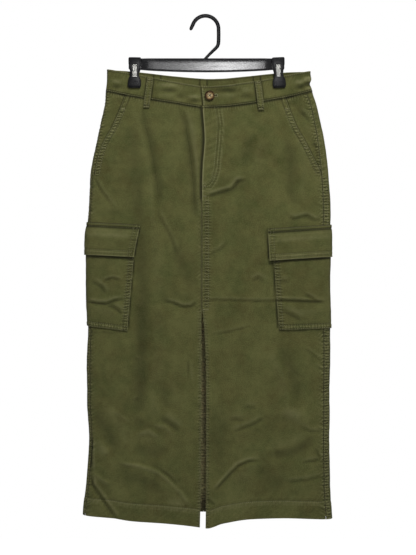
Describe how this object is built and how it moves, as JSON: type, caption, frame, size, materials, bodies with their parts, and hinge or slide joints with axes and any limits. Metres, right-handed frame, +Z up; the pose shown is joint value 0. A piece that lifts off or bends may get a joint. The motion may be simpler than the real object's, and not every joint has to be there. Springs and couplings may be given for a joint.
{
  "type": "cargo skirt on a clip hanger",
  "caption": "Long cotton twill cargo skirt with a centre front slit, slanted hip pockets and flapped side pockets, clipped by its waistband to a plastic hanger.",
  "frame": {"origin": "the place inside the top of the hanger's hook that rests on a rail", "axes": "+Z up, the front of the skirt faces -Y, +X towards the wearer's left"},
  "size_m": [0.4987, 0.0452, 1.024],
  "materials": {
    "twill": "matte olive cotton twill, washed, topstitched in a slightly lighter thread",
    "zip": "olive zip tape with its chain, closed",
    "horn_plastic": "mottled brown horn, polished",
    "black_plastic": "moulded black plastic, satin to gloss",
    "spring_steel": "pale bright spring strip"
  },
  "bodies": {
    "root": {"back_left_panel": "twill", "back_right_panel": "twill", "belt_loop_back_left": "twill", "belt_loop_back_right": "twill", "belt_loop_centre_back": "twill", "belt_loop_front_left": "twill", "belt_loop_front_right": "twill", "cargo_flap_left": "twill", "cargo_flap_right": "twill", "cargo_pouch_left": "twill", "cargo_pouch_right": "twill", "clip_left_back_jaw": "black_plastic", "clip_left_front_jaw": "black_plastic", "clip_left_spring": "spring_steel", "clip_right_back_jaw": "black_plastic", "clip_right_front_jaw": "black_plastic", "clip_right_spring": "spring_steel", "fly_zip": "zip", "front_left_panel": "twill", "front_right_panel": "twill", "hanger_bar": "black_plastic", "hanger_hook": "black_plastic", "hip_facing_left": "twill", "hip_facing_right": "twill", "waist_button": "horn_plastic", "waistband_back": "twill", "waistband_front_left": "twill", "waistband_front_right": "twill"}
  },
  "joints": []
}
